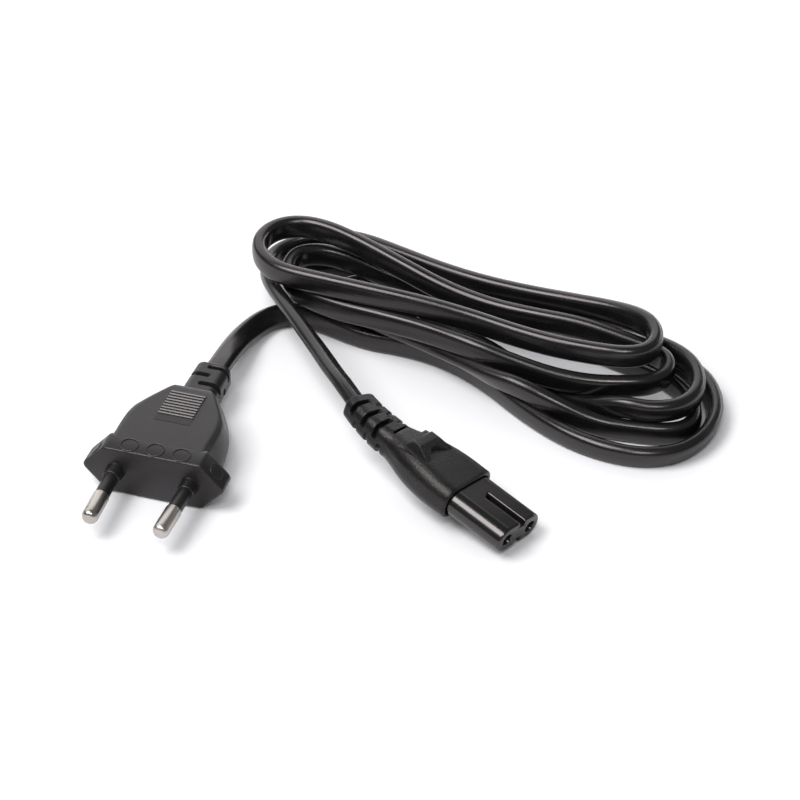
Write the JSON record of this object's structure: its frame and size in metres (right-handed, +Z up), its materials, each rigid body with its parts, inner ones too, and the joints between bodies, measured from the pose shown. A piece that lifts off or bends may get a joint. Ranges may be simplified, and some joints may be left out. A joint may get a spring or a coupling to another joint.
{
  "type": "power cord",
  "caption": "Two-core mains lead with a flat two-pin plug and a figure-eight appliance connector, its cord folded into a loose hank.",
  "frame": {"origin": "middle of the plug's and the connector's common box, on the surface that the cord lies on", "axes": "+Z up, -Y the way the plug's pins point, +X from the plug towards the connector"},
  "size_m": [0.1406, 0.1196, 0.0188],
  "materials": {
    "moulded_black": "satin, fine grain",
    "insert_black": "glossy",
    "cable_black": "satin, soft",
    "sleeve_black": "semi-gloss",
    "nickel": "bright nickel plate",
    "contact_brass": "bright",
    "copper": "bright copper strands",
    "core_brown": "satin",
    "core_blue": "satin"
  },
  "bodies": {
    "root": {"connector_body": "moulded_black", "connector_contact_left": "contact_brass", "connector_contact_right": "contact_brass", "connector_core_left": "core_brown", "connector_core_right": "core_blue", "connector_insert": "insert_black", "connector_lead": "cable_black", "connector_strands_left": "copper", "connector_strands_right": "copper", "cord_hank": "cable_black", "plug_body": "moulded_black", "plug_bridge": "sleeve_black", "plug_core_left": "core_brown", "plug_core_right": "core_blue", "plug_lead": "cable_black", "plug_pin_left": "nickel", "plug_pin_right": "nickel", "plug_pin_sleeve_left": "sleeve_black", "plug_pin_sleeve_right": "sleeve_black", "plug_strands_left": "copper", "plug_strands_right": "copper"}
  },
  "joints": []
}
